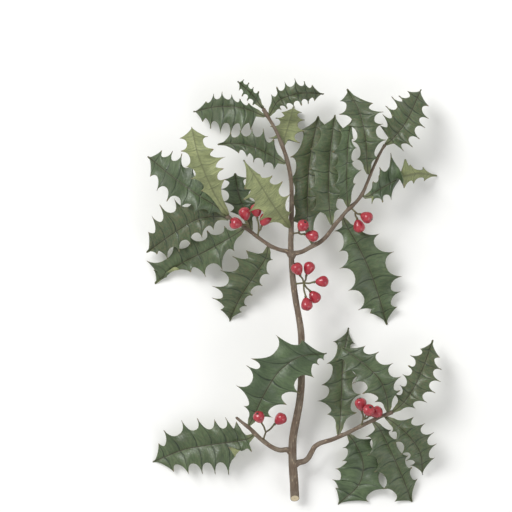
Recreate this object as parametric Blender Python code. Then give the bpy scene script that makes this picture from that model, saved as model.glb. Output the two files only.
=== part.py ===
"""A cut holly sprig, lying flat: a woody stem with four side shoots, spiny leaves, and stalked berries.

The stem lies along +Y with its cut end at -Y, and +Z is up. Lengths in this file are millimetres until
an object is made from them; MM turns them into metres.
"""

import bpy
import numpy as np
from mathutils import Vector

MM = 0.001

# Driving dimensions, in millimetres.
GAP = 0.35                   # clearance where one piece meets another
BLADE_THICKNESS = 0.8
PETIOLE_HALF_WIDTH = 1.0
PETIOLE_LENGTH = 4.5
NECK_HALF_WIDTH = 2.6        # half width of the blade where it leaves the petiole
SINUS_DEPTH = 0.30           # how far the margin cuts in between two spines, as a part of the half width
WAVE_HEIGHT = 1.8            # how far the spines turn up and down by turns
BLADE_CUP = 0.12             # rise of the margin over the midrib, per millimetre of half width
VEIN_SLANT = 0.35            # how far a side vein runs forward, per millimetre of half width
VEIN_SPACING = 0.02          # least gap between the feet of two side veins, as a part of the midrib
FLAT_SPINE = 8.0             # spines nearer the midrib than this turn up and down less
LEAST_ASIDE = 0.3            # the shallowest angle at which a piece leaves the wood, as a sine
BERRY_LENGTH = 9.6
BERRY_WIDTH = 8.6
STALK_RADIUS = 0.65
BRANCH_RADIUS = 0.58          # the second and later branches of a stalk
STALK_SIDES = 6
BUD_LENGTH = 4.2
BUD_WIDTH = 2.4

# How finely the curved pieces are drawn.
STEM_SIDES = 8
SHOOT_SIDES = 6
WOOD_STEPS = 2               # bends between two points of the pith
JOINT_STEPS = 20             # finer steps, which place the pieces that grow on the wood
MIDRIB_STEPS = 24
BERRY_SEGMENTS = 10
BERRY_RINGS = 7
BUD_SEGMENTS = 8
BUD_RINGS = 5

# The wood: x, y and z of each point of the pith, then the radius there.
MAIN_STEM = [
    (0, 1, 9, 3.2), (-0.5, 15, 11, 3.1), (-1.5, 28, 14, 3.0), (-1.5, 45, 18, 2.8), (0.6, 58, 20, 2.7),
    (2.9, 70, 22, 2.6), (4.4, 85, 24, 2.5), (4.5, 105, 26, 2.4), (4.3, 120, 27, 2.3), (2.5, 132, 27.5, 2.2),
    (-1.2, 155, 28, 2.1), (-2.9, 180, 28, 1.9), (-2.7, 195, 28, 1.8), (-2.4, 210, 28, 1.6),
    (-2.6, 225, 27.5, 1.5), (-4.6, 238, 27, 1.4), (-8.4, 250, 26.5, 1.3), (-13.3, 262, 26, 1.2),
    (-18, 270, 26, 1.1), (-22, 277, 26, 1.0),
]
UPPER_LEFT_SHOOT = [
    (-3.5, 176.5, 28, 1.5), (-14.3, 180, 29, 1.4), (-20.4, 183.4, 30, 1.4), (-26.8, 188, 31, 1.3),
    (-35.8, 194.8, 33, 1.2), (-47.6, 202, 35, 1.0),
]
UPPER_RIGHT_SHOOT = [
    (-1.5, 176, 28, 1.6), (5, 177.4, 27.5, 1.6), (10.3, 180.2, 27, 1.6), (17.7, 184.2, 27, 1.5),
    (22.9, 189.2, 27, 1.5), (28, 196, 27.5, 1.4), (33, 202.2, 28, 1.4), (37.2, 207, 28.5, 1.3),
    (43, 212.2, 29, 1.3), (48, 219.4, 30, 1.2), (51, 227.6, 31, 1.2), (54, 234.6, 31.5, 1.1),
    (58.6, 244.8, 32, 1.0), (62.6, 251.8, 32, 0.9),
]
LOWER_LEFT_SHOOT = [
    (-1.7, 38, 16, 1.8), (-10, 38, 16.5, 1.8), (-16.4, 40.4, 17, 1.7), (-24.5, 46.4, 19, 1.5),
    (-30, 52, 20, 1.3), (-35, 56, 21, 1.2), (-41, 61, 22, 1.0),
]
LOWER_RIGHT_SHOOT = [
    (-1.5, 28, 14, 2.0), (7, 30.4, 15, 2.0), (10.6, 34.4, 16, 1.9), (13.8, 40.3, 17, 1.8),
    (18.5, 43.2, 18, 1.7), (25.2, 45.3, 19, 1.7), (32.3, 48.2, 20, 1.6),
    (44, 54, 22, 1.5), (58, 61, 24, 1.3), (68, 65, 26, 1.1),
]

# Each leaf: the wood that it grows on and where, the midrib up to the tip, and the spine tips on its
# left and right sides as seen from above, looking from the stalk to the tip.
LEAVES = {
    "leaf_tip_left": (
        "main_stem", (-18.5, 271), [(-36, 277.5, 28), (-54, 279, 20), (-71, 276, 5)],
        [(-31, 264), (-38, 261), (-45, 260), (-52, 261), (-59, 265), (-65, 270)],
        [(-32, 280), (-38, 283), (-44, 286), (-51, 288), (-57, 287), (-63, 282)],
    ),
    "leaf_tip_small": (
        "main_stem", (-20.8, 275), [(-30, 287, 33), (-40, 296, 37)],
        [(-29, 281), (-33, 284), (-36.5, 287), (-39, 291)],
        [(-26, 288), (-29.5, 291), (-33, 294), (-36.5, 296.5)],
    ),
    "leaf_tip_right": (
        "main_stem", (-18.6, 271.5), [(-11, 283, 32), (4, 288, 30), (20, 288, 18)],
        [(-16, 286), (-12.5, 291), (-7, 295), (0, 297), (6.5, 295.5), (12.5, 293)],
        [(-10.5, 277.5), (-6, 278), (-1, 279), (4, 280.5), (9, 282), (14, 284)],
    ),
    "leaf_top_left": (
        "main_stem", (-5.5, 238), [(-16, 244, 31), (-28, 250, 34), (-42, 253, 30), (-54, 252.5, 20)],
        [(-15, 236), (-22, 237.5), (-29, 241), (-34, 244.5), (-40, 247)],
        [(-15, 255), (-22, 262), (-30, 262), (-38, 261), (-45, 259)],
    ),
    "pale_leaf_top": (
        "main_stem", (-9, 250), [(-7, 258, 20), (-4, 268, 11), (-1, 279.5, 0)],
        [(-17, 257), (-16, 265), (-12.5, 271), (-8, 275.5)],
        [(2, 254), (5.5, 262), (5.5, 270), (3.5, 275.5)],
    ),
    "pale_leaf_middle": (
        "main_stem", (-2.6, 193), [(-9, 201, 40), (-17, 212, 51), (-27, 228, 59), (-36, 241, 58)],
        [(-17, 198), (-24, 200), (-31, 206), (-35, 214), (-34.5, 222)],
        [(-3.5, 205), (-5, 216), (-10, 225), (-17, 229), (-26, 231)],
    ),
    "pale_leaf_left": (
        "upper_left_shoot", (-44, 201.3), [(-54, 213, 44), (-62, 230, 54), (-68, 246, 57), (-72, 264, 50)],
        [(-64, 220), (-71, 228), (-75, 236), (-78, 247), (-79, 256)],
        [(-50, 227), (-51, 234.5), (-50, 242.5), (-58, 248), (-62, 257)],
    ),
    "leaf_left_upper": (
        "upper_left_shoot", (-47, 203), [(-55, 209, 40), (-68, 217, 40), (-86, 230, 32), (-103, 244, 16)],
        [(-60, 203), (-70, 204), (-80, 208), (-89, 213.5), (-96, 221), (-101, 231)],
        [(-56, 220), (-63, 230), (-71, 239), (-79, 244.5), (-86, 246.5), (-94, 247)],
    ),
    "leaf_left_middle": (
        "upper_left_shoot", (-41, 199.5), [(-53, 202, 32), (-68, 200, 30), (-84, 191, 23), (-104, 177, 7)],
        [(-57, 194), (-65, 188), (-73, 183), (-81, 178.5), (-89.5, 173.5), (-97.5, 177)],
        [(-60, 212.5), (-72, 215.5), (-84, 213.5), (-94, 209), (-99.5, 201), (-102.5, 190)],
    ),
    "leaf_left_lower": (
        "upper_left_shoot", (-34, 195.2), [(-44, 188, 26), (-62, 178, 19), (-80, 169, 8), (-98.5, 155, 0)],
        [(-43, 179), (-51, 165.5), (-63, 161), (-74, 164), (-85, 163), (-91, 159)],
        [(-49, 194), (-61, 191), (-73, 187), (-85, 182), (-103, 170), (-98.5, 163.5)],
    ),
    "leaf_left_hanging": (
        "upper_left_shoot", (-18, 182.8), [(-21, 172, 22), (-29, 160, 16), (-39, 144, 8), (-46, 128.5, 0)],
        [(-17, 172), (-19, 162), (-24, 154), (-31, 147), (-35, 139.5), (-38.5, 134.5)],
        [(-33, 178), (-43, 174), (-51, 164), (-57, 153), (-57, 144.5), (-51, 136)],
    ),
    "leaf_left_inner": (
        "upper_left_shoot", (-29, 191.3), [(-34, 203, 27), (-39, 216, 24), (-42, 232, 16)],
        [(-44, 205), (-50, 212), (-51, 221), (-48, 228)],
        [(-28, 203), (-27, 212), (-30, 221), (-35, 229)],
    ),
    "leaf_right_high": (
        "upper_right_shoot", (50, 229), [(50, 240, 38), (49, 256, 42), (45, 274, 38), (36.5, 291, 26)],
        [(44, 242), (41, 254), (38, 265), (32, 273), (32.5, 282.5)],
        [(57, 243), (62, 255), (60, 266), (60, 274.5), (53, 281)],
    ),
    "leaf_right_end": (
        "upper_right_shoot", (62, 252), [(69, 257, 35), (78, 269, 33), (88.5, 291, 14)],
        [(60, 264.5), (61.5, 272), (64, 278), (68, 284.5), (73.5, 285.5), (80, 289)],
        [(75, 248.5), (81, 251), (86, 256.5), (89.5, 264.5), (92, 271), (92.5, 280)],
    ),
    "leaf_right_side": (
        "upper_right_shoot", (43, 214.3), [(53, 217, 31), (68, 226, 28), (84, 232, 18), (100, 231, 0)],
        [(54.5, 225), (59, 235), (67, 245), (77, 244.5), (81, 237), (90, 236)],
        [(54, 212), (61, 213), (67, 215), (75, 218), (83, 226.5), (91, 228)],
    ),
    "leaf_right_fan_1": (
        "upper_right_shoot", (36, 208), [(36, 220, 38), (36, 240, 44), (37, 256, 42), (40, 270, 34)],
        [(30.5, 215), (27.5, 224), (27.5, 236), (27, 247), (32, 262)],
        [(41, 224), (45, 233.5), (39.5, 240), (41.5, 249.5), (40, 257)],
    ),
    "leaf_right_fan_2": (
        "upper_right_shoot", (25, 194), [(24, 208, 30), (23.5, 228, 31.5), (25, 250, 30.5), (28, 273, 22)],
        [(12, 206), (10.5, 221), (10.5, 235), (11.5, 249), (17, 264)],
        [(29.5, 207), (33, 218), (32.5, 231), (35, 245), (37, 260)],
    ),
    "leaf_right_fan_3": (
        "upper_right_shoot", (12, 182), [(9, 198, 21), (9, 222, 20), (11, 245, 17.5), (16.5, 272.5, 8)],
        [(-2.5, 199), (-3.5, 213), (-3.5, 228), (-2, 244), (5, 263)],
        [(17, 205), (19.5, 218), (20.5, 232), (21.5, 247), (24, 264)],
    ),
    "leaf_right_hanging": (
        "upper_right_shoot", (32, 203), [(37, 194, 22), (45, 180, 20), (55, 158, 12), (65, 126, 0)],
        [(47, 196), (58, 189.5), (68, 177), (74, 160), (73, 149), (71, 138)],
        [(29, 192), (32, 178), (32.5, 166), (38.5, 150.5), (46, 137), (54, 134)],
    ),
    "leaf_base_left": (
        "lower_left_shoot", (-27, 49.5), [(-36, 45, 15), (-56, 42, 13), (-78, 38, 8), (-100, 29, 0)],
        [(-31, 38), (-38, 30), (-46.5, 21.5), (-56, 22), (-65, 22), (-75, 22), (-86, 23.5)],
        [(-40.5, 57), (-48, 60), (-56, 58.5), (-68, 59.5), (-79, 57.5), (-91.5, 51), (-95.5, 41)],
    ),
    "leaf_base_crossing": (
        "lower_left_shoot", (-33, 54.4),
        [(-28, 64, 28), (-22, 77, 34), (-12, 93, 38), (3, 104, 37), (22, 106, 28)],
        [(-34.5, 69), (-40, 83.5), (-33, 97.5), (-29.5, 103), (-12.5, 118.5), (5, 116)],
        [(-17, 62), (-7, 71), (2, 79), (12, 90), (15.5, 99), (19, 102.5)],
    ),
    "leaf_low_right_back": (
        "lower_right_shoot", (30, 48.2), [(32, 60, 15), (33, 80, 13), (34, 100, 8), (38, 123.5, 0)],
        [(24, 63), (16.7, 72.6), (20, 84), (23.5, 99), (28.4, 114)],
        [(42, 64), (45, 77), (44, 90), (42, 103), (41, 113)],
    ),
    "leaf_low_right_front": (
        "lower_right_shoot", (65, 63.8), [(64, 75, 34), (59, 88, 38), (48, 99, 36), (32, 111, 26)],
        [(57, 73), (48, 79), (41, 86), (34, 93), (30, 102)],
        [(72, 80), (72.7, 90), (67, 99), (57, 107), (48, 111)],
    ),
    "leaf_low_right_end": (
        "lower_right_shoot", (68, 65), [(75, 71, 28), (83, 82, 29), (90, 97, 24), (97, 115, 10)],
        [(71, 77), (74, 83.5), (76, 91), (80, 97), (82, 104), (89, 109)],
        [(83, 68.5), (91, 72.5), (97, 79), (100.5, 87), (101.5, 95), (100.5, 104)],
    ),
    "leaf_low_right_side": (
        "lower_right_shoot", (62, 62.6), [(70, 57, 26), (80, 48, 25), (88, 36, 17), (90, 20.3, 4)],
        [(82, 61), (90, 57), (96, 50), (98, 42), (97, 32)],
        [(69, 52), (70, 44), (75, 36), (79, 31.5), (82.5, 27.5)],
    ),
    "leaf_low_right_under_1": (
        "lower_right_shoot", (36, 50.7), [(42, 43, 13), (48, 29, 7), (45, 13, 4), (30.5, -1, 0)],
        [(54, 46), (60.5, 36), (63, 25), (63.5, 10.5), (51, 1.5)],
        [(35, 40), (34.5, 31), (30, 24.5), (28, 16.7), (30, 10)],
    ),
    "leaf_low_right_under_2": (
        "lower_right_shoot", (54, 59), [(60, 52, 19), (68, 36, 14), (76, 18, 8), (82.7, 1, 0)],
        [(66, 52), (71, 45.5), (78.5, 33.5), (81.5, 25), (85.5, 16.3)],
        [(51, 48), (51.5, 35), (56.5, 23), (63, 11), (71.5, 2)],
    ),
}

# Each cluster: the wood that its stalk grows on and where, the fork, and the middle of each berry.
CLUSTERS = {
    "middle": ("main_stem", (-1, 155), (6, 155.5, 34),
               [(1.5, 165, 38), (9.5, 165.5, 34), (18.5, 156.5, 33), (13.4, 146, 30), (8, 141, 36)]),
    "stem": ("main_stem", (-2.6, 189), (2, 190.5, 33), [(5, 195, 38), (11.5, 188.5, 34)]),
    "right": ("upper_right_shoot", (38, 210), (42, 205, 33), [(49.5, 201.5, 37), (44.5, 195.5, 31)]),
    "left_outer": ("upper_left_shoot", (-32, 193.7), (-33, 195.5, 37.5),
                   [(-35, 203.5, 38), (-41, 197, 42)]),
    "left_inner": ("upper_left_shoot", (-24, 187.3), (-25.5, 191.5, 35),
                   [(-27, 206, 36), (-21, 199.5, 35)]),
    "lower_left": ("lower_left_shoot", (-20, 44), (-20.5, 51, 26), [(-25, 61.5, 37), (-10.5, 60, 25)]),
    "lower_right": ("lower_right_shoot", (44, 54), (47.5, 60, 28),
                    [(46, 70.5, 31), (51, 66.5, 38), (56.5, 65, 31)]),
}


def make_material(name, colour, roughness):
    """A plain finish, with its colour in linear values."""
    material = bpy.data.materials.new(name)
    material.use_nodes = True
    shader = material.node_tree.nodes["Principled BSDF"]
    shader.inputs["Base Color"].default_value = (*colour, 1.0)
    shader.inputs["Roughness"].default_value = roughness
    shader.inputs["Metallic"].default_value = 0.0
    material.diffuse_color = (*colour, 1.0)
    return material


def smooth_path(points, steps):
    """A Catmull-Rom curve through the points, with this many steps from each point to the next."""
    points = np.array(points, float)
    padded = np.vstack([2 * points[0] - points[1], points, 2 * points[-1] - points[-2]])
    path = []
    for a, b, c, d in zip(padded, padded[1:], padded[2:], padded[3:]):
        for t in np.arange(steps) / steps:
            path.append(0.5 * (2 * b + (c - a) * t + (2 * a - 5 * b + 4 * c - d) * t**2
                               + (3 * b - a - 3 * c + d) * t**3))
    return np.array(path + [points[-1]])


def add_object(name, data, material, parent):
    """An object that holds this mesh or curve."""
    made = bpy.data.objects.new(name, data)
    made.data.materials.append(material)
    made.parent = parent
    bpy.context.collection.objects.link(made)
    return made


def add_wood(name, path, sides, material, parent):
    """A tapering round shoot along the path, as a bevelled curve with closed ends."""
    curve = bpy.data.curves.new(name, "CURVE")
    curve.dimensions = "3D"
    curve.bevel_depth = MM
    curve.bevel_resolution = sides // 2 - 2
    curve.use_fill_caps = True
    spline = curve.splines.new("POLY")
    spline.points.add(len(path) - 1)
    for point, (x, y, z, radius) in zip(spline.points, path):
        point.co = (x * MM, y * MM, z * MM, 1)
        point.radius = radius
    return add_object(name, curve, material, parent)


def off_wood(wood, joint, towards, half_width):
    """Where a piece that grows at the joint and heads towards a point leaves the wood's surface."""
    index = int(np.argmin(np.linalg.norm(wood[:, :2] - joint, axis=1)))
    pith, radius = wood[index, :3], wood[index, 3]
    grain = wood[max(index, 1), :3] - wood[max(index, 1) - 1, :3]
    grain /= np.linalg.norm(grain)
    heading = np.array(towards, float) - pith
    heading /= np.linalg.norm(heading)
    along = abs(heading @ grain)
    aside = max(np.sqrt(1 - along**2), LEAST_ASIDE)
    if index == len(wood) - 1:
        return pith + heading * (GAP + half_width * aside)
    return pith + heading * (radius + GAP + half_width * along) / aside


def side_line(spines, midrib, side):
    """The margin from stalk to tip: the petiole, the neck, then each spine and the hollow after it.

    Each point has its place along the midrib, its x, y and z, and its distance from the midrib.
    """
    line = []
    along = np.linspace(0, 1, len(midrib))
    lengths = np.concatenate([[0], np.cumsum(np.linalg.norm(np.diff(midrib, axis=0), axis=1))])
    start = int(np.searchsorted(lengths, PETIOLE_LENGTH))
    for index, half_width in ((0, PETIOLE_HALF_WIDTH), (start, NECK_HALF_WIDTH)):
        heading = midrib[index + 1, :2] - midrib[index, :2]
        heading /= np.linalg.norm(heading)
        across = side * np.array([-heading[1], heading[0]])
        x, y = midrib[index, :2] + across * half_width
        line.append((along[index], x, y, midrib[index, 2], half_width))
    outline = np.vstack([np.array(spines, float), midrib[-1:, :2]])
    for number, spine in enumerate(outline[:-1]):
        middle = (spine + outline[number + 1]) / 2
        wave = WAVE_HEIGHT * (1 if number % 2 else -1)
        for place, depth, lift in ((spine, 0.0, wave), (middle, SINUS_DEPTH, 0.0)):
            gaps = np.linalg.norm(midrib[:, :2] - place, axis=1)
            foot = max(int(np.argmin(gaps)), start + 1)
            x, y = place + (midrib[foot, :2] - place) * depth
            half_width = gaps[foot] * (1 - depth)
            height = midrib[foot, 2] + BLADE_CUP * half_width + lift * min(1, half_width / FLAT_SPINE)
            line.append((along[foot], x, y, height, half_width))
    return np.array(line)


def add_leaf(name, wood, joint, midrib, left, right, material, parent):
    """A thin spiny blade on a short petiole, folded along its midrib."""
    midrib = smooth_path([off_wood(wood, joint, midrib[0], PETIOLE_HALF_WIDTH), *midrib], MIDRIB_STEPS)
    left_line = side_line(left, midrib, 1)
    right_line = side_line(right, midrib, -1)

    # Each pair of margin points shares one midrib point, set back because the side veins slant forward.
    half_widths = (left_line[:, 4] + right_line[:, 4]) / 2
    length = np.linalg.norm(np.diff(midrib, axis=0), axis=1).sum()
    along = (left_line[:, 0] + right_line[:, 0]) / 2 - VEIN_SLANT * half_widths / length
    along[:2] = left_line[:2, 0]
    along[2:] = np.maximum.accumulate(np.maximum(along[2:], along[1] + VEIN_SPACING))
    along[2:] += np.linspace(0, VEIN_SPACING, len(along) - 2)
    samples = np.linspace(0, 1, len(midrib))
    centre = np.stack([np.interp(along, samples, midrib[:, axis]) for axis in range(3)], axis=1)
    centre[0, 2] -= PETIOLE_HALF_WIDTH / 3

    rows = len(centre)
    tip = 3 * rows
    vertices = np.vstack([left_line[:, 1:4], centre, right_line[:, 1:4], midrib[-1:]]) * MM
    faces = []
    for row in range(rows - 1):
        for outer, inner in ((0, rows), (rows, 2 * rows)):
            faces.append((outer + row, inner + row, inner + row + 1, outer + row + 1))
    faces.append((rows - 1, 2 * rows - 1, tip))
    faces.append((2 * rows - 1, 3 * rows - 1, tip))
    mesh = bpy.data.meshes.new(name)
    mesh.from_pydata(vertices.tolist(), [], faces)
    leaf = add_object(name, mesh, material, parent)
    shell = leaf.modifiers.new("blade thickness", "SOLIDIFY")
    shell.thickness = BLADE_THICKNESS * MM
    shell.offset = 0
    return leaf


def add_egg(name, centre, heading, length, width, segments, rings, material, parent):
    """A closed egg-like solid whose long axis follows the heading."""
    outline = [(0.5 * width * np.sin(angle), -0.5 * length * np.cos(angle))
               for angle in np.linspace(0, np.pi, rings + 1)[1:-1]]
    vertices = [(0, 0, -0.5 * length)]
    for radius, height in outline:
        for turn in np.arange(segments) * 2 * np.pi / segments:
            vertices.append((radius * np.cos(turn), radius * np.sin(turn), height))
    vertices.append((0, 0, 0.5 * length))
    top = len(vertices) - 1
    faces = []
    for segment in range(segments):
        after = (segment + 1) % segments
        faces.append((0, 1 + after, 1 + segment))
        for ring in range(len(outline) - 1):
            low = 1 + ring * segments
            faces.append((low + segment, low + after, low + segments + after, low + segments + segment))
        last = 1 + (len(outline) - 1) * segments
        faces.append((last + segment, last + after, top))
    mesh = bpy.data.meshes.new(name)
    mesh.from_pydata((np.array(vertices) * MM).tolist(), [], faces)
    mesh.shade_smooth()
    egg = add_object(name, mesh, material, parent)
    egg.location = Vector(centre) * MM
    egg.rotation_euler = Vector(heading).to_track_quat("Z", "Y").to_euler()
    return egg


def tube_mesh(name, points, radius, sides):
    """A closed round tube through the points."""
    points = np.array(points, float)
    vertices = []
    for index, point in enumerate(points):
        heading = Vector(points[min(index + 1, len(points) - 1)] - points[max(index - 1, 0)])
        turn = np.array(heading.to_track_quat("Z", "Y").to_matrix())
        for angle in np.arange(sides) * 2 * np.pi / sides:
            vertices.append(point + turn @ np.array([radius * np.cos(angle), radius * np.sin(angle), 0]))
    faces = [tuple(range(sides))[::-1], tuple(range(len(vertices) - sides, len(vertices)))]
    for low in range(0, len(vertices) - sides, sides):
        for side in range(sides):
            after = (side + 1) % sides
            faces.append((low + side, low + after, low + sides + after, low + sides + side))
    mesh = bpy.data.meshes.new(name)
    mesh.from_pydata((np.array(vertices) * MM).tolist(), [], faces)
    return mesh


def add_stalks(name, start, fork, berries, material, parent):
    """A forked stalk from the wood to each berry: one bent tube, and a tube joined on for each other one."""
    fork = np.array(fork, float)
    ends = []
    for berry in berries:
        heading = (np.array(berry) - fork) / np.linalg.norm(np.array(berry) - fork)
        ends.append(np.array(berry) - heading * (BERRY_LENGTH / 2 + GAP))
    first = tube_mesh(name, [start, fork, ends[0]], STALK_RADIUS, STALK_SIDES)
    stalks = add_object(name, first, material, parent)
    for number, end in enumerate(ends[1:], 2):
        branch_name = f"{name}_branch_{number}"
        tube = tube_mesh(branch_name, [fork, end], BRANCH_RADIUS, STALK_SIDES)
        branch = add_object(branch_name, tube, material, parent)
        branch.hide_render = True
        branch.display_type = "WIRE"
        join = stalks.modifiers.new("join branch", "BOOLEAN")
        join.operation = "UNION"
        join.object = branch
    return stalks


for old in list(bpy.data.objects):
    bpy.data.objects.remove(old, do_unlink=True)

bark = make_material("bark", (0.13, 0.085, 0.055), 0.75)
deep_green = make_material("leaf_green", (0.045, 0.085, 0.035), 0.35)
pale_green = make_material("leaf_underside", (0.28, 0.34, 0.13), 0.6)
stalk_green = make_material("berry_stalk", (0.12, 0.10, 0.045), 0.6)
berry_red = make_material("berry", (0.42, 0.02, 0.03), 0.25)
bud_brown = make_material("bud", (0.10, 0.09, 0.04), 0.6)

sprig = bpy.data.objects.new("holly_sprig", None)
bpy.context.collection.objects.link(sprig)

# The wood. Each side shoot starts just off the surface of the main stem.
main_path = smooth_path(MAIN_STEM, WOOD_STEPS)
woods = {"main_stem": smooth_path(MAIN_STEM, JOINT_STEPS)}
add_wood("main_stem", main_path, STEM_SIDES, bark, sprig)
for name, points in (
    ("upper_left_shoot", UPPER_LEFT_SHOOT), ("upper_right_shoot", UPPER_RIGHT_SHOOT),
    ("lower_left_shoot", LOWER_LEFT_SHOOT), ("lower_right_shoot", LOWER_RIGHT_SHOOT),
):
    shoot = smooth_path(points, WOOD_STEPS)
    clear = np.linalg.norm(woods["main_stem"][:, None, :3] - shoot[None, :, :3], axis=2)
    nearest = woods["main_stem"][np.argmin(clear, axis=0), 3]
    outside = int(np.argmax(clear.min(axis=0) > nearest + GAP + shoot[:, 3]))
    start = off_wood(woods["main_stem"], shoot[0, :2], shoot[outside, :3], shoot[0, 3])
    shoot = np.vstack([[*start, shoot[0, 3]], shoot[outside:]])
    woods[name] = smooth_path(points, JOINT_STEPS)
    add_wood(name, shoot, SHOOT_SIDES, bark, sprig)

# The leaves.
for name, (wood, joint, midrib, left, right) in LEAVES.items():
    finish = pale_green if name.startswith("pale") else deep_green
    add_leaf(name, woods[wood], joint, midrib, left, right, finish, sprig)

# The berries, each in line with its stalk.
for cluster, (wood, joint, fork, berries) in CLUSTERS.items():
    start = off_wood(woods[wood], joint, fork, 2 * STALK_RADIUS)
    add_stalks(f"{cluster}_berry_stalks", start, fork, berries, stalk_green, sprig)
    for number, berry in enumerate(berries, 1):
        heading = np.array(berry) - np.array(fork)
        name = f"{cluster}_berry_{number}"
        add_egg(name, berry, heading, BERRY_LENGTH, BERRY_WIDTH, BERRY_SEGMENTS, BERRY_RINGS, berry_red,
                sprig)

# The bud at the end of the main stem.
end, before = woods["main_stem"][-1, :3], woods["main_stem"][-2, :3]
heading = (end - before) / np.linalg.norm(end - before)
bud_middle = end + heading * (GAP + BUD_LENGTH / 2)
add_egg("terminal_bud", bud_middle, heading, BUD_LENGTH, BUD_WIDTH, BUD_SEGMENTS, BUD_RINGS, bud_brown,
        sprig)

# The sprig stands over the origin: centred in x and y, with its lowest spines on z = 0.
bpy.context.view_layer.update()
graph = bpy.context.evaluated_depsgraph_get()
corners = []
for piece in sprig.children:
    evaluated = piece.evaluated_get(graph)
    mesh = evaluated.to_mesh()
    corners += [evaluated.matrix_world @ vertex.co for vertex in mesh.vertices]
    evaluated.to_mesh_clear()
low, high = np.min(corners, axis=0), np.max(corners, axis=0)
sprig.location = (-(low[0] + high[0]) / 2, -(low[1] + high[1]) / 2, -low[2])
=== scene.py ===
import bmesh
import bpy
import numpy as np
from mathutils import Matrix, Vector, noise


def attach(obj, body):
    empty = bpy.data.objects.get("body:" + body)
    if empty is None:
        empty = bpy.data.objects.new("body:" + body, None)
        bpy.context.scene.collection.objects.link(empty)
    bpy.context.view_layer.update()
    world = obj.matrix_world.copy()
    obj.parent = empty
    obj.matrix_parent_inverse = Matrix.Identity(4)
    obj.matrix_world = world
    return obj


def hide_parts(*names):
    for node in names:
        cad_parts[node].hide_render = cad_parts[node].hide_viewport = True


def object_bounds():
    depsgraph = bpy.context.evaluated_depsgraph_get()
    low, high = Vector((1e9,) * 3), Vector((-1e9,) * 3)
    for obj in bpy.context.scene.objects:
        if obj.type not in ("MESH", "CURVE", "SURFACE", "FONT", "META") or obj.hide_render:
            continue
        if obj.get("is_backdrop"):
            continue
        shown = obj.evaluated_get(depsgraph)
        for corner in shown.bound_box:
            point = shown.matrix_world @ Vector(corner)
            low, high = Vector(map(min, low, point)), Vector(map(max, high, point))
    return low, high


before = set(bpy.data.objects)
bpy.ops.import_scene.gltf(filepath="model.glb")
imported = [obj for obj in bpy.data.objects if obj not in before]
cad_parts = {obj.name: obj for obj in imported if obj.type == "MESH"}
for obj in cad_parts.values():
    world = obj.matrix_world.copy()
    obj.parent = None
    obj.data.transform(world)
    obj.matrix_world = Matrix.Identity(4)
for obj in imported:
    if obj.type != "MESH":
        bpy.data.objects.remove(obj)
cad_low, cad_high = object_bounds()


# --- The table top and the light ---------------------------------------------------------------
# The sprig lies on a wide, matt, off-white table. One large soft lamp stands up and to its left, a
# weaker one faces it, and the camera hangs straight above, far off, behind a long lens.

TABLE_SIDE = 30.0
TABLE_WHITE = (0.90, 0.90, 0.885, 1.0)
TABLE_SHADE = (0.87, 0.87, 0.855, 1.0)
ROOM_GLOW = 0.62
CAMERA_OVER = (-0.0260, 0.0263)      # the spot on the table under the camera
CAMERA_HEIGHT = 3.0
SEEN_WIDTH = 0.3584                  # how much of the sprig's own level the camera takes in
SPRIG_LEVEL = 0.025
LAMPS = {                            # place, side in metres, watts
    "key_lamp": ((-1.3, 1.1, 1.9), 1.1, 44.0),
    "fill_lamp": ((1.7, -1.2, 1.6), 1.6, 14.0),
}


def put(tree, value, socket):
    """Gives a socket a value, or links it to another node's output."""
    if isinstance(value, bpy.types.NodeSocket):
        tree.links.new(value, socket)
    else:
        socket.default_value = value


def add_node(tree, kind, inputs=None, **settings):
    """A node of this kind in the tree. Each input takes a value, or another node's output."""
    made = tree.nodes.new(kind)
    for name, value in settings.items():
        setattr(made, name, value)
    for name, value in (inputs or {}).items():
        put(tree, value, made.inputs[name])
    return made


def new_material(name, roughness):
    """A material with its tree and its Principled shader, at this roughness until a node drives it."""
    material = bpy.data.materials.new(name)
    material.use_nodes = True
    shader = material.node_tree.nodes["Principled BSDF"]
    shader.inputs["Roughness"].default_value = roughness
    return material, material.node_tree, shader


def blend(tree, factor, first, second):
    """The colour between two, by a factor."""
    mix = add_node(tree, "ShaderNodeMix", data_type="RGBA")
    for socket, value in ((mix.inputs[0], factor), (mix.inputs[6], first), (mix.inputs[7], second)):
        put(tree, value, socket)
    return mix.outputs[2]


paint, tree, shader = new_material("table_paint", 0.9)
places = add_node(tree, "ShaderNodeTexCoord").outputs["Object"]
cloud = add_node(tree, "ShaderNodeTexNoise", {"Vector": places, "Scale": 2.5, "Detail": 3.0})
put(tree, blend(tree, cloud.outputs["Fac"], TABLE_WHITE, TABLE_SHADE), shader.inputs["Base Color"])

half = TABLE_SIDE / 2
sheet = [(-half, -half, 0), (half, -half, 0), (half, half, 0), (-half, half, 0)]
mesh = bpy.data.meshes.new("table_top")
mesh.from_pydata(sheet, [], [(0, 1, 2, 3)])
mesh.materials.append(paint)
table = bpy.data.objects.new("table_top", mesh)
bpy.context.scene.collection.objects.link(table)
table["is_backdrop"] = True

world = bpy.data.worlds.new("room")
world.use_nodes = True
glow = world.node_tree.nodes["Background"].inputs
glow["Color"].default_value = (1.0, 1.0, 1.0, 1.0)
glow["Strength"].default_value = ROOM_GLOW
bpy.context.scene.world = world
bpy.context.scene.view_settings.view_transform = "Standard"

for name, (place, side, watts) in LAMPS.items():
    lamp = bpy.data.lights.new(name, "AREA")
    lamp.shape = "SQUARE"
    lamp.size = side
    lamp.energy = watts
    stand = bpy.data.objects.new(name, lamp)
    stand.location = place
    stand.rotation_euler = (-Vector(place)).to_track_quat("-Z", "Y").to_euler()
    bpy.context.scene.collection.objects.link(stand)

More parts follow.
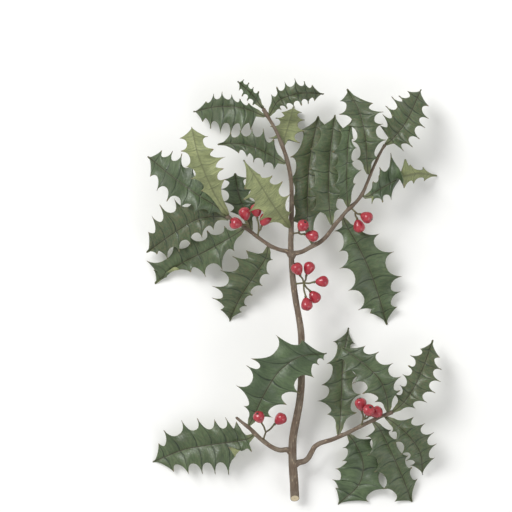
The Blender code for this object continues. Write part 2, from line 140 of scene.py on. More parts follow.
camera = bpy.data.objects.new("camera", bpy.data.cameras.new("camera"))
camera.location = (*CAMERA_OVER, SPRIG_LEVEL + CAMERA_HEIGHT)
camera.data.lens = camera.data.sensor_width * CAMERA_HEIGHT / SEEN_WIDTH
camera.data.clip_start = 0.1
bpy.context.scene.collection.objects.link(camera)
bpy.context.scene.camera = camera


# --- The wood ----------------------------------------------------------------------------------
# A main stem of last year's wood and four side shoots, with thin grey-brown bark that has fine
# ridges and pale breathing pores. A swollen collar joins each shoot to the stem. The lower end is
# cut on the slant and shows its cream wood, growth rings and pith. All sizes are in millimetres.

MM = 0.001
WOODS = {"main_stem": 8, "upper_left_shoot": 6, "upper_right_shoot": 6, "lower_left_shoot": 6,
         "lower_right_shoot": 6}     # with the sides of each one's CAD tube
RING_STEP = 0.9                      # from one ring of the fine bark to the next
CURVE_STEPS = 40                     # measuring points on a curve for each point that it runs through
BARK_SIDES = 36
ROUND_END = 0.8                      # how far the rounded end runs on past the CAD's last ring
THICKEST_SHOOT = 2.1                 # a CAD shoot that starts thicker is thinned to SHOOT_START
SHOOT_START = 1.6
SHOOT_ROOT = 3                       # rings of the stem between a fork and the root of its shoot
RIDGE_HEIGHT = 0.14
RIDGES = ((1.1, 0.09, 0.0, 1.0), (2.6, 0.3, 50.0, 0.5))  # per mm round, per mm along, seed, weight
KNOT_HEIGHT = 0.45                   # the cushion under each leaf and each stalk
KNOT_REACH = 2.4
KNOT_NEAR = 5.0
COLLAR_HEIGHT = 0.9
COLLAR_LENGTH = 3.5
CUT_SLANT = 5.5                      # how much shorter the stem is at its top than at its underside
CUT_EASE = 14.0                      # the length over which the slant eases off
CUT_RINGS = (0.93, 0.88, 0.7, 0.5, 0.3, 0.14, 0.1)
CUT_HOLLOW = 0.25
BARK_BROWN = (0.190, 0.135, 0.092, 1.0)
BARK_DARK = (0.066, 0.045, 0.031, 1.0)
BARK_GREY = (0.270, 0.220, 0.162, 1.0)
PORE_BUFF = (0.36, 0.28, 0.19, 1.0)
CUT_CREAM = (0.66, 0.56, 0.38, 1.0)
CUT_RING_TAN = (0.44, 0.33, 0.18, 1.0)
CUT_RADIUS = (2.75, 2.95)            # where the cream wood of the cut gives way to the bark
PITH_RADIUS = (0.55, 0.35)


def is_berry(node):
    """Whether a CAD node is one berry."""
    return "_berry_" in node and not node.endswith("_berry_stalks")


def welded(node):
    """The mesh of a CAD node, with its doubled corners joined."""
    shape = bmesh.new()
    shape.from_mesh(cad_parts[node].data)
    bmesh.ops.remove_doubles(shape, verts=shape.verts, dist=1e-6)
    return shape


def corners(node):
    """All corners of a CAD node."""
    return np.array([vertex.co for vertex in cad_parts[node].data.vertices]) / MM


def gaps_between(first, second):
    """The distance from each point of one list to each point of another."""
    return np.linalg.norm(first[:, None] - second[None, :, :3], axis=2)


def bell(distance, reach):
    """1 at no distance, falling away smoothly over this reach."""
    return np.exp(-(distance / reach)**2)


def pith_line(node, sides, base):
    """The middle and the radius of each ring of a CAD tube, from the end at its base.

    The rings are found from the thin end: each next ring is what the last one's edges lead to.
    """
    shape = welded(node)
    far = max(shape.verts, key=lambda vertex: (vertex.co / MM - Vector(base)).length)
    ring = sorted(shape.verts, key=lambda vertex: (vertex.co - far.co).length)[:sides]
    seen = set(ring)
    line = []
    while ring:
        places = np.array([vertex.co for vertex in ring]) / MM
        middle = places.mean(axis=0)
        line.append((*middle, np.linalg.norm(places - middle, axis=1).mean()))
        ring = {edge.other_vert(vertex) for vertex in ring for edge in vertex.link_edges} - seen
        seen |= ring
    shape.free()
    return np.array(line[::-1])


def curve_at(points, places):
    """A smooth curve through the points, at these places: 1.5 is half way from point 1 to point 2."""
    gaps = np.linalg.norm(np.diff(points[:, :3], axis=0), axis=1)[:, None]
    slopes = np.diff(points, axis=0) / gaps
    inner = (slopes[:-1] * gaps[1:] + slopes[1:] * gaps[:-1]) / (gaps[:-1] + gaps[1:])
    turns = np.vstack([slopes[:1], inner, slopes[-1:]])
    low = np.clip(places.astype(int), 0, len(points) - 2)
    part = (places - low)[:, None]
    rest = 1 - part
    first = (1 + 2 * part) * rest**2 * points[low] + part * rest**2 * gaps[low] * turns[low]
    second = (3 - 2 * part) * part**2 * points[low + 1] - part**2 * rest * gaps[low] * turns[low + 1]
    return first + second


def even_curve(points, step):
    """The same curve at even distances about a step apart, with the distance walked to each point."""
    dense = curve_at(points, np.linspace(0, len(points) - 1, CURVE_STEPS * len(points)))
    walked = np.concatenate([[0], np.cumsum(np.linalg.norm(np.diff(dense[:, :3], axis=0), axis=1))])
    stops = np.linspace(0, walked[-1], max(3, int(walked[-1] / step)))
    return np.stack([np.interp(stops, walked, column) for column in dense.T], axis=1), stops


def tube(line, sides):
    """Points and outward directions of the rings round a line of x, y, z and radius."""
    headings = np.gradient(line[:, :3], axis=0)
    headings /= np.linalg.norm(headings, axis=1)[:, None]
    up = np.array([0.0, 0.0, 1.0]) if abs(headings[0, 2]) < 0.9 else np.array([1.0, 0.0, 0.0])
    angles = np.arange(sides) * 2 * np.pi / sides
    outward = []
    for heading in headings:
        up = up - heading * (up @ heading)
        up /= np.linalg.norm(up)
        across = np.cross(heading, up)
        outward.append(np.cos(angles)[:, None] * up + np.sin(angles)[:, None] * across)
    outward = np.array(outward)
    return line[:, None, :3] + outward * line[:, None, 3:4], outward


def grown_along(walked, radii, sides):
    """For each ring point of a tube, its place across the grain and along it, which the fibres follow."""
    angles = np.arange(sides) * 2 * np.pi / sides
    along = np.repeat(walked[:, None], sides, axis=1)
    return np.stack([np.outer(radii, np.cos(angles)), np.outer(radii, np.sin(angles)), along], axis=2)


def cap_faces(ring, sides, middle):
    """A fan of faces from the ring that starts at this point to one middle point."""
    return [(ring + (side + 1) % sides, ring + side, middle) for side in range(sides)]


def tube_faces(rings, sides, start=0):
    """Faces from each ring of a tube to the next, and a fan from the last ring to one end point.

    The start is the first ring's first point.
    """
    faces = []
    last = start + (rings - 1) * sides
    for low in range(start, last, sides):
        for side in range(sides):
            after = (side + 1) % sides
            faces.append((low + side, low + after, low + sides + after, low + sides + side))
    return faces + [(last + side, last + (side + 1) % sides, last + sides) for side in range(sides)]


def add_piece(name, points, faces, materials, attributes):
    """A smooth-shaded piece, with named vectors at its points for its materials."""
    mesh = bpy.data.meshes.new(name)
    mesh.from_pydata((np.asarray(points) * MM).tolist(), [], faces)
    for title, values in attributes.items():
        made = mesh.attributes.new(title, "FLOAT_VECTOR", "POINT")
        made.data.foreach_set("vector", np.ascontiguousarray(values, np.float32).ravel())
    for material in materials:
        mesh.materials.append(material)
    mesh.shade_smooth()
    piece = bpy.data.objects.new(name, mesh)
    bpy.context.scene.collection.objects.link(piece)
    return piece


def new_group(name, inputs, outputs):
    """An empty shader node group with these inputs, by kind and value, and float outputs."""
    group = bpy.data.node_groups.new(name, "ShaderNodeTree")
    for title, (kind, value) in inputs.items():
        socket = group.interface.new_socket(title, in_out="INPUT", socket_type=kind)
        if value is not None:
            socket.default_value = value
    for title in outputs:
        group.interface.new_socket(title, in_out="OUTPUT", socket_type="NodeSocketFloat")
    return group, group.nodes.new("NodeGroupInput").outputs, group.nodes.new("NodeGroupOutput").inputs


def use_group(tree, group, inputs):
    """The outputs of this group in a material, with its own values."""
    made = add_node(tree, "ShaderNodeGroup", node_tree=group)
    for name, value in inputs.items():
        put(tree, value, made.inputs[name])
    return made.outputs


def calc(tree, operation, *values):
    """One sum on numbers or sockets."""
    return add_node(tree, "ShaderNodeMath", dict(enumerate(values)), operation=operation).outputs[0]


def vector_calc(tree, operation, inputs, output="Vector"):
    """One sum on vectors."""
    return add_node(tree, "ShaderNodeVectorMath", inputs, operation=operation).outputs[output]


def share(tree, mask, part):
    """This part of a mask or of a size."""
    return calc(tree, "MULTIPLY", mask, part)


def ramp(tree, value, low, high):
    """0 at the low value and 1 at the high one, with a soft start and end."""
    inputs = {"Value": value, "From Min": low, "From Max": high}
    return add_node(tree, "ShaderNodeMapRange", inputs, interpolation_type="SMOOTHSTEP").outputs["Result"]


def named_vector(tree, name):
    """The vectors that add_piece put at the points under this name."""
    return add_node(tree, "ShaderNodeAttribute", attribute_name=name).outputs["Vector"]


def in_mm(tree):
    """Places in the piece's own space, in millimetres."""
    places = add_node(tree, "ShaderNodeTexCoord").outputs["Object"]
    return vector_calc(tree, "SCALE", {0: places, "Scale": 1 / MM})


def surface(tree, shader, colour, roughness, height, strength, depth):
    """Gives a shader its colour, its roughness and bumps of this height, up to a depth in metres."""
    bump = add_node(tree, "ShaderNodeBump", {"Height": height, "Strength": strength, "Distance": depth})
    put(tree, colour, shader.inputs["Base Color"])
    put(tree, roughness, shader.inputs["Roughness"])
    put(tree, bump.outputs["Normal"], shader.inputs["Normal"])


# Fibres run with the growth of bark, stalks and bud scales.
fibres, given, put_out = new_group(
    "fibres", {"Place": ("NodeSocketVector", None), "Per mm": ("NodeSocketFloat", 1.5),
               "Stretch": ("NodeSocketFloat", 0.1)}, ["Fine", "Broad"])
stretched = add_node(fibres, "ShaderNodeCombineXYZ", {"X": 1.0, "Y": 1.0, "Z": given["Stretch"]}).outputs[0]
along = vector_calc(fibres, "MULTIPLY", {0: given["Place"], 1: stretched})
for title, times in (("Fine", 2.2), ("Broad", 0.6)):
    scale = share(fibres, given["Per mm"], times)
    thread = add_node(fibres, "ShaderNodeTexNoise",
                      {"Vector": along, "Scale": scale, "Detail": 4.0, "Roughness": 0.6})
    put(fibres, ramp(fibres, thread.outputs["Fac"], 0.3, 0.7), put_out[title])

# Mottling is the uneven tone of anything grown.
mottling, given, put_out = new_group("mottling", {"Per mm": ("NodeSocketFloat", 0.3)}, ["Patches", "Grain"])
places = in_mm(mottling)
for title, times in (("Patches", 1.0), ("Grain", 9.0)):
    scale = share(mottling, given["Per mm"], times)
    cloud = add_node(mottling, "ShaderNodeTexNoise", {"Vector": places, "Scale": scale, "Detail": 3.0})
    put(mottling, ramp(mottling, cloud.outputs["Fac"], 0.32, 0.68), put_out[title])

bark, tree, shader = new_material("bark", 0.8)
growth = named_vector(tree, "growth")
threads = use_group(tree, fibres, {"Place": growth, "Per mm": 1.3, "Stretch": 0.09})
spots = use_group(tree, mottling, {"Per mm": 0.16})
squashed = vector_calc(tree, "MULTIPLY", {0: growth, 1: (1.0, 1.0, 0.45)})
pores = add_node(tree, "ShaderNodeTexVoronoi", {"Vector": squashed, "Scale": 0.42, "Randomness": 1.0})
pore = ramp(tree, pores.outputs["Distance"], 0.26, 0.14)
colour = blend(tree, spots["Patches"], BARK_BROWN, BARK_GREY)
colour = blend(tree, share(tree, threads["Broad"], 0.55), colour, BARK_DARK)
colour = blend(tree, share(tree, threads["Fine"], 0.55), colour, BARK_DARK)
colour = blend(tree, share(tree, pore, 0.6), colour, PORE_BUFF)
height = calc(tree, "ADD", share(tree, threads["Fine"], -0.6), share(tree, pore, 0.5))
rough = calc(tree, "MULTIPLY_ADD", threads["Fine"], 0.2, 0.62)
surface(tree, shader, colour, rough, height, 0.7, 0.0003)

# On the cut face "growth" holds x and y over the cut, and the pith is at its middle.
cut_wood, tree, shader = new_material("cut_wood", 0.7)
flat = vector_calc(tree, "MULTIPLY", {0: named_vector(tree, "growth"), 1: (1.0, 1.0, 0.0)})
out_from_pith = vector_calc(tree, "LENGTH", {0: flat}, "Value")
cloud = add_node(tree, "ShaderNodeTexNoise", {"Vector": flat, "Scale": 1.2, "Detail": 4.0})
wavy = calc(tree, "MULTIPLY_ADD", cloud.outputs["Fac"], 0.5, out_from_pith)
rings = ramp(tree, calc(tree, "PINGPONG", wavy, 0.5), 0.3, 0.5)
colour = blend(tree, share(tree, rings, 0.6), CUT_CREAM, CUT_RING_TAN)
colour = blend(tree, ramp(tree, out_from_pith, *PITH_RADIUS), colour, CUT_RING_TAN)
colour = blend(tree, ramp(tree, out_from_pith, *CUT_RADIUS), colour, BARK_DARK)
surface(tree, shader, colour, 0.7, cloud.outputs["Fac"], 0.4, 0.0002)


def wood_line(name):
    """The pith of the stem or of a shoot, with its radius. A shoot's pith starts inside the stem."""
    if name == "main_stem":
        return pith_line(name, WOODS[name], (cad_low.x / MM, cad_low.y / MM, 0))
    stem = woods["main_stem"]
    places = corners(name)
    line = pith_line(name, WOODS[name], places[gaps_between(places, stem).min(axis=1).argmin()])
    start = line[1, 3] if line[1, 3] < THICKEST_SHOOT else SHOOT_START
    line[:, 3] = np.linspace(start, line[-1, 3], len(line))
    nearest = int(np.linalg.norm(stem[:, :3] - line[0, :3], axis=1).argmin())
    root = stem[max(0, nearest - SHOOT_ROOT)]
    return np.vstack([[*root[:3], line[0, 3]], line])


def swellings(line, points, growth):
    """How far the bark stands out at each ring point: cushions under what grows there, and ridges."""
    swell = np.zeros(points.shape[:2])
    for grown in growing:
        knot = grown[gaps_between(grown, line).min(axis=1).argmin()]
        if np.linalg.norm(line[:, :3] - knot, axis=1).min() < KNOT_NEAR:
            swell += KNOT_HEIGHT * bell(np.linalg.norm(points - knot, axis=2), KNOT_REACH)
    for ring, radius in enumerate(line[:, 3]):
        for side, (x, y, along) in enumerate(growth[ring]):
            ridge = sum(weight * noise.noise(Vector((x * round_it, y * round_it, along * lengthwise + seed)))
                        for round_it, lengthwise, seed, weight in RIDGES)
            swell[ring, side] += RIDGE_HEIGHT * ridge * min(1, radius)
    return swell


def cut_end(points, growth, faces, line):
    """The slanted cut, which eases off along the stem, and the rings of its face round the pith."""
    height = (points[:, 2] - line[0, 2]) / line[0, 3]
    near = np.clip(1 - growth[:, 2] / CUT_EASE, 0, 1)**2
    points[:, 1] += near * CUT_SLANT * (1 + height) / 2
    rim = points[:BARK_SIDES]
    middle = rim.mean(axis=0)
    rim_growth = grown_along(np.zeros(1), line[:1, 3], BARK_SIDES)[0]
    ring = 0
    for part in CUT_RINGS:
        inner = len(points)
        points = np.vstack([points, middle + (rim - middle) * part])
        growth = np.vstack([growth, rim_growth * part])
        for side in range(BARK_SIDES):
            after = (side + 1) % BARK_SIDES
            faces.append((ring + after, ring + side, inner + side, inner + after))
        ring = inner
    points = np.vstack([points, middle + (0, CUT_HOLLOW, 0)])
    growth = np.vstack([growth, (0, 0, 0)])
    return points, growth, faces + cap_faces(ring, BARK_SIDES, len(points) - 1)


growing = [corners(node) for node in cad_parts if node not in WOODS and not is_berry(node)]
woods = {}
for name in WOODS:
    line = wood_line(name)
    onward = (line[-1] - line[-2]) / np.linalg.norm(line[-1, :3] - line[-2, :3]) * ROUND_END
    ends = line[-1] + onward
    ends[3] = line[-1, 3]
    fine, walked = even_curve(np.vstack([line, ends]), RING_STEP)
    woods[name] = fine.copy()
    from_end = np.clip((walked[-1] - walked) / fine[-1, 3], 0, 1)
    fine[:, 3] *= np.sqrt(np.clip(1 - (1 - from_end)**2, 0.02, 1))
    if name != "main_stem":
        fine[:, 3] += COLLAR_HEIGHT * bell(walked, COLLAR_LENGTH)
    points, outward = tube(fine, BARK_SIDES)
    growth = grown_along(walked, fine[:, 3], BARK_SIDES)
    points += outward * swellings(fine, points, growth)[:, :, None]
    faces = tube_faces(len(fine), BARK_SIDES)
    points = np.vstack([points.reshape(-1, 3), fine[-1:, :3]])
    growth = np.vstack([growth.reshape(-1, 3), [[0, 0, walked[-1]]]])
    if name == "main_stem":
        points, growth, faces = cut_end(points, growth, faces, fine)
    else:
        points = np.vstack([points, fine[:1, :3]])
        growth = np.vstack([growth, [[0, 0, 0]]])
        faces += cap_faces(0, BARK_SIDES, len(points) - 1)
    piece = add_piece(f"{name}_bark", points, faces, [bark, cut_wood], {"growth": growth})
    if name == "main_stem":
        for polygon in piece.data.polygons[-BARK_SIDES * len(CUT_RINGS):]:
            polygon.material_index = 1
            polygon.use_smooth = False
    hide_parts(name)
    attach(piece, "root")


# --- The leaves --------------------------------------------------------------------------------
# Stiff, leathery evergreen blades: dark and glossy above, pale and dull beneath, with a hard spine
# at the end of each side vein. Each grows on a short grooved stalk. A few lie with the back up, one
# twists over half way, and here and there a spine is folded over and shows its pale back.

FINE_ROWS = 6                        # rows of the fine blade for each row of the CAD blade
CROWDING = 1.4                       # above 1, the fine rows crowd together towards the spines
ACROSS = np.array([0.03, 0.08, 0.15, 0.24, 0.35, 0.47, 0.6, 0.73, 0.85, 0.94, 1.0])
CAD_THICKNESS = 0.8
RIB_THICKNESS = 1.7
RIB_REACH = 0.8
BLADE_PART = 0.3                     # the blade's own thickness, as a part of the rib's
HOLLOW_DEEPER = 0.11                 # the margin cuts in this much further than the CAD's
FULL_LEAVES = ("leaf_right_fan", "leaf_low_right_under")  # crowded leaves, which are cut less deeply
FULL_HOLLOW = -0.03
FOOT_AHEAD = 0.5                     # how much nearer the tip a vein starts, in rows of the CAD blade
NECK_ROWS = 1.5                      # veins and relief come in over these rows of the CAD blade
TIP_ROWS = 2                         # and go out over these
SPINE_LONGER = 1.5                   # the needle beyond the CAD's spine tip
SPINE_PINCH = 0.86                   # 1 draws the spines out to needles, 0 leaves straight-sided teeth
SPINE_LIFT = 2.6                     # how far single spines stand above or below the blade
VEIN_BEND = 0.09                     # how far the side veins bow back, as a part of their length
BOW_PEAK = 4 / 27                    # the most that part * (1 - part)**2 comes to
VEIN_GROOVE = (0.2, 0.5)             # depth and half width of the grooves over the side veins
RIB_GROOVE = (0.42, 0.8)
BLADE_ARCH = 0.055                   # the rise of each half of the blade, as a part of its width
ARCH_TURNS = 0.6                     # this part of the arch hangs down where the back is up
PUFF = 0.05                          # the rise of the blade between two veins, as a part of its width
PUFF_STOP = 1.05                     # above 1, the puffs end this much before the margin
WAVE = (0.06, 1.1)                   # slow waves towards the margin: per mm, and height
ROOT_DEPTH = 0.75                    # the leaf stalk runs in this part of the way to the pith
TWISTED_LEAF = "leaf_right_side"     # its outer half is turned back up, over these rows
TWIST_FROM = 6.3
TWIST_OVER = 2.4
TWIST_RISE = 0.6
LEFT, RIGHT = -1, 1
FOLDED_SPINES = {"leaf_base_left": [(LEFT, 1)], "leaf_left_lower": [(LEFT, 4)]}
FOLD_INSET = 2.6                     # how far inside its two hollows a folded spine bends
FOLD_RADIUS = 0.6
FOLD_TURN = 2.7                      # in radians
LEAF_DARK = (0.034, 0.056, 0.027, 1.0)
LEAF_GREEN = (0.098, 0.146, 0.068, 1.0)
LEAF_OLIVE = (0.120, 0.118, 0.060, 1.0)
VEIN_DARK = (0.014, 0.024, 0.012, 1.0)
RIB_GREEN = (0.165, 0.185, 0.090, 1.0)
RIB_BROWN = (0.030, 0.026, 0.016, 1.0)
SPINE_TAN = (0.200, 0.150, 0.075, 1.0)
BACK_GREEN = (0.340, 0.370, 0.170, 1.0)
BACK_SHADE = (0.150, 0.175, 0.078, 1.0)
BACK_VEIN = (0.075, 0.090, 0.042, 1.0)
BACK_RIB = (0.120, 0.130, 0.062, 1.0)

# Rows go down from a spine to its hollow, then up to the next spine.
even_rows = np.arange(FINE_ROWS) / FINE_ROWS
ROW_STEPS = (even_rows**CROWDING, 1 - (1 - even_rows)**CROWDING)


def joined_faces(left, start):
    """Takes out of the set all faces that hang together with this one."""
    sheet = set()
    todo = [start]
    left.discard(start)
    while todo:
        face = todo.pop()
        sheet.add(face)
        for edge in face.edges:
            fresh = set(edge.link_faces) & left
            left -= fresh
            todo += fresh
    return sheet


def read_blade(node):
    """The left margin, the midrib, the right margin and the tip of a CAD leaf, from stalk to tip.

    The CAD blade is two sheets one thickness apart. The upper one is kept, and its edge is walked from
    the short end at the stalk; the points that are left inside it are the midrib.
    """
    shape = welded(node)
    rim = [face for face in shape.faces
           if any(abs(edge.calc_length() / MM - CAD_THICKNESS) < 0.008 for edge in face.edges)]
    bmesh.ops.delete(shape, geom=rim, context="FACES")
    left = set(shape.faces)
    sheets = []
    while left:
        sheets.append(joined_faces(left, next(iter(left))))
    upper = max(sheets, key=lambda sheet: sum(face.normal.z * face.calc_area() for face in sheet))
    bmesh.ops.delete(shape, geom=list(set.union(*sheets) - upper), context="FACES")

    loop = [next(edge for edge in shape.edges if edge.is_boundary).verts[0]]
    onward = loop
    while onward:
        onward = [edge.other_vert(loop[-1]) for edge in loop[-1].link_edges if edge.is_boundary]
        onward = [vertex for vertex in onward if vertex not in loop]
        loop += onward[:1]
    size = len(loop)
    short = [(loop[i].co - loop[i - 1].co).length + (loop[i].co - loop[(i + 1) % size].co).length
             for i in range(size)]
    start = int(np.argmin(short))
    loop = loop[start:] + loop[:start]
    rows = size // 2 - 1
    sides = [loop[1:rows + 1], loop[:rows + 1:-1]]
    rib = [loop[0]]
    while len(rib) < rows:
        ahead = [edge.other_vert(rib[-1]) for edge in rib[-1].link_edges]
        rib.append(next(vertex for vertex in ahead if not vertex.is_boundary and vertex not in rib))
    sides = [np.array([vertex.co for vertex in side]) / MM for side in sides]
    rib = np.array([vertex.co for vertex in rib]) / MM
    tip = np.array(loop[rows + 1].co) / MM
    shape.free()
    grain = np.diff(np.vstack([rib, tip]), axis=0)
    reach = sides[0] - rib
    if (grain[:, 0] * reach[:, 1] - grain[:, 1] * reach[:, 0]).sum() < 0:
        sides.reverse()
    return sides[0], rib, sides[1], tip


def fades(places, rows):
    """Two factors for each row: one fades out at the neck, the other at the neck and at the tip."""
    past_neck = np.clip((places - 1) / NECK_ROWS, 0, 1)
    return past_neck, past_neck * np.clip((rows - places) / TIP_ROWS, 0, 1)


def feet_of(rib, tip, places):
    """Where the side veins leave the midrib: a little nearer the tip than the CAD's own rows."""
    return curve_at(np.vstack([rib, tip]), places + FOOT_AHEAD * fades(places, len(rib))[1])


def margin_line(side, rib, tip, deeper):
    """The fine margin: needle spines, each in line with its vein, and rounded hollows between them."""
    outer = np.vstack([side, tip])
    feet = feet_of(rib, tip, np.append(np.arange(len(rib)), len(rib) - 1.0))
    for row in range(3, len(side), 2):
        outer[row] += (rib[row] - outer[row]) * deeper
    for row in range(2, len(side), 2):
        vein = outer[row] - feet[row]
        outer[row] += vein / np.linalg.norm(vein) * SPINE_LONGER
    line = [outer[0] + (outer[1] - outer[0]) * even_rows[:, None]]
    for row in range(1, len(side)):
        rising = row % 2
        spine, hollow = outer[row + rising], outer[row + 1 - rising]
        vein = spine - feet[row + rising]
        run = rib[2] - rib[1] if row == 1 else outer[row + 2 - rising] - outer[row - rising]
        run = run / np.linalg.norm(run)
        # The margin leaves the hollow along the blade and comes to the spine along its vein.
        gap = spine - hollow
        straight = gap @ run
        met = (gap[0] * vein[1] - gap[1] * vein[0]) / (run[0] * vein[1] - run[1] * vein[0])
        met = np.clip(met / straight, 0.1, 1.6) * straight
        bend = hollow + run * met * SPINE_PINCH
        part = 1 - ROW_STEPS[1][:, None] if rising else ROW_STEPS[0][:, None]
        line.append((1 - part)**2 * spine + 2 * part * (1 - part) * bend + part**2 * hollow)
    return np.vstack(line)


def fold_spine(spots, margin, feet, places, spine):
    """Rolls one spine, counted from the stalk, over onto the blade. Changes the spots of a column."""
    before, foot, after = (np.abs(places - 2 * spine - 2 - gap).argmin() for gap in (-1, 0, 1))
    chord = margin[after] - margin[before]
    outwards = np.cross(chord / np.linalg.norm(chord), (0, 0, 1.0))
    outwards *= np.sign(outwards @ (margin[before] - feet[foot]))
    off_spine = np.abs(places / 2 - 1 - spine)
    inset = FOLD_INSET * (1 - np.minimum(1, 2 * off_spine)**2)
    beyond = np.clip((spots - margin[before]) @ outwards + inset, 0, None) * (off_spine < 0.5)
    rolled = np.minimum(beyond, FOLD_RADIUS * FOLD_TURN)
    angle = rolled / FOLD_RADIUS
    back = beyond - rolled
    spots += outwards * (FOLD_RADIUS * np.sin(angle) + back * np.cos(FOLD_TURN) - beyond)[:, None]
    spots[:, 2] += FOLD_RADIUS * (1 - np.cos(angle)) + back * np.sin(FOLD_TURN)


def under_thickness(places, rows, parts, widths):
    """How thick the leaf is at each point, from 0 to 1: a round stalk, then a rib, and a thin blade."""
    off_rib = np.abs(parts) * widths
    rib_height = np.interp(places, [0, 1.5, 2.5, rows], [1.0, 1.0, 0.8, 0.1])[:, None]
    places = places[:, None]
    stalk = np.sqrt(1 - 0.8 * parts**2) * np.clip(2 - places, 0, 1)
    blade = BLADE_PART + (1 - BLADE_PART) * rib_height * bell(off_rib, RIB_REACH)
    blade = blade * np.clip(places - 0.5, 0, 1) + BLADE_PART * np.clip(1.5 - places, 0, 1)
    return np.minimum(1.0, np.maximum(blade, stalk))


# "blade" holds the vein number, the place from the left margin (-1) to the right one (1) and a tone of
# the leaf's own. "reach" holds the half width of the blade and the distance between veins.
veins, given, put_out = new_group(
    "leaf_veins", {"Width": ("NodeSocketFloat", 0.3), "Rib width": ("NodeSocketFloat", 0.6)},
    ["Rib", "Rib thread", "Veins", "Net", "Spine", "Margin", "Stalk", "Strokes", "Tone"])
blade = add_node(veins, "ShaderNodeSeparateXYZ", {0: named_vector(veins, "blade")}).outputs
reach = add_node(veins, "ShaderNodeSeparateXYZ", {0: named_vector(veins, "reach")}).outputs
places = in_mm(veins)
across = calc(veins, "ABSOLUTE", blade["Y"])
from_rib = share(veins, across, reach["X"])
from_margin = share(veins, calc(veins, "SUBTRACT", 1.0, across), reach["X"])
off_vein = calc(veins, "PINGPONG", blade["X"], 0.5)
on_blade = ramp(veins, blade["X"], -0.25, -0.1)

sway = add_node(veins, "ShaderNodeTexNoise", {"Vector": places, "Scale": 0.35, "Detail": 1.0}).outputs["Fac"]
wander = calc(veins, "MULTIPLY_ADD", sway, 0.5, -0.25)
to_vein = calc(veins, "ABSOLUTE", calc(veins, "ADD", share(veins, off_vein, reach["Y"]), wander))
thin = share(veins, given["Width"], calc(veins, "SUBTRACT", 1.25, across))
put(veins, share(veins, ramp(veins, to_vein, thin, 0.0), on_blade), put_out["Veins"])
put(veins, ramp(veins, from_rib, given["Rib width"], 0.0), put_out["Rib"])
put(veins, ramp(veins, from_rib, share(veins, given["Rib width"], 0.55), 0.0), put_out["Rib thread"])

cells = add_node(veins, "ShaderNodeTexVoronoi", {"Vector": places, "Scale": 0.55, "Randomness": 1.0},
                 feature="DISTANCE_TO_EDGE")
net = ramp(veins, cells.outputs["Distance"], 0.10, 0.0)
put(veins, share(veins, net, on_blade), put_out["Net"])

near_spine = share(veins, ramp(veins, off_vein, 0.12, 0.0), on_blade)
put(veins, share(veins, ramp(veins, across, 0.86, 1.0), near_spine), put_out["Spine"])
put(veins, ramp(veins, from_margin, 0.55, 0.1), put_out["Margin"])
put(veins, ramp(veins, blade["X"], -0.35, -0.6), put_out["Stalk"])

slanted = add_node(veins, "ShaderNodeCombineXYZ", {
    axis: share(veins, blade[axis], stretch) for axis, stretch in (("X", 7.0), ("Y", 1.3), ("Z", 40.0))})
strokes = add_node(veins, "ShaderNodeTexNoise",
                   {"Vector": slanted.outputs[0], "Scale": 1.6, "Detail": 4.0, "Roughness": 0.65})
put(veins, ramp(veins, strokes.outputs["Fac"], 0.35, 0.68), put_out["Strokes"])
put(veins, blade["Z"], put_out["Tone"])

leaf_face, tree, shader = new_material("leaf_face", 0.35)
marks = use_group(tree, veins, {"Width": 0.62, "Rib width": 1.2})
spots = use_group(tree, mottling, {"Per mm": 0.07})
colour = blend(tree, share(tree, spots["Patches"], 0.65), LEAF_GREEN, LEAF_DARK)
colour = blend(tree, share(tree, marks["Tone"], spots["Grain"]), colour, LEAF_OLIVE)
for mark, strength, tint in (
        ("Strokes", 0.65, LEAF_DARK), ("Net", 0.15, LEAF_OLIVE), ("Veins", 0.9, VEIN_DARK),
        ("Stalk", 0.7, RIB_GREEN), ("Rib", 0.4, RIB_GREEN), ("Rib thread", 0.95, RIB_BROWN),
        ("Margin", 0.35, RIB_GREEN), ("Spine", 1.0, SPINE_TAN)):
    colour = blend(tree, share(tree, marks[mark], strength), colour, tint)
height = calc(tree, "SUBTRACT", share(tree, marks["Net"], -0.22), share(tree, marks["Veins"], 0.8))
height = calc(tree, "ADD", height, share(tree, spots["Grain"], 0.25))
rough = calc(tree, "MULTIPLY_ADD", spots["Grain"], 0.14, 0.30)
surface(tree, shader, colour, rough, height, 0.55, 0.0003)
shader.inputs["Specular IOR Level"].default_value = 0.45

leaf_back, tree, shader = new_material("leaf_back", 0.6)
marks = use_group(tree, veins, {"Width": 0.38, "Rib width": 0.9})
spots = use_group(tree, mottling, {"Per mm": 0.08})
colour = blend(tree, share(tree, spots["Patches"], 0.6), BACK_GREEN, BACK_SHADE)
for mark, strength, tint in (
        ("Strokes", 0.8, BACK_SHADE), ("Net", 0.25, BACK_SHADE), ("Veins", 0.7, BACK_VEIN),
        ("Rib", 0.75, BACK_RIB), ("Spine", 1.0, SPINE_TAN), ("Stalk", 0.6, BACK_SHADE)):
    colour = blend(tree, share(tree, marks[mark], strength), colour, tint)
height = calc(tree, "ADD", share(tree, marks["Net"], 0.3), share(tree, marks["Veins"], 0.8))
rough = calc(tree, "MULTIPLY_ADD", spots["Grain"], 0.15, 0.52)
surface(tree, shader, colour, rough, height, 0.5, 0.0003)

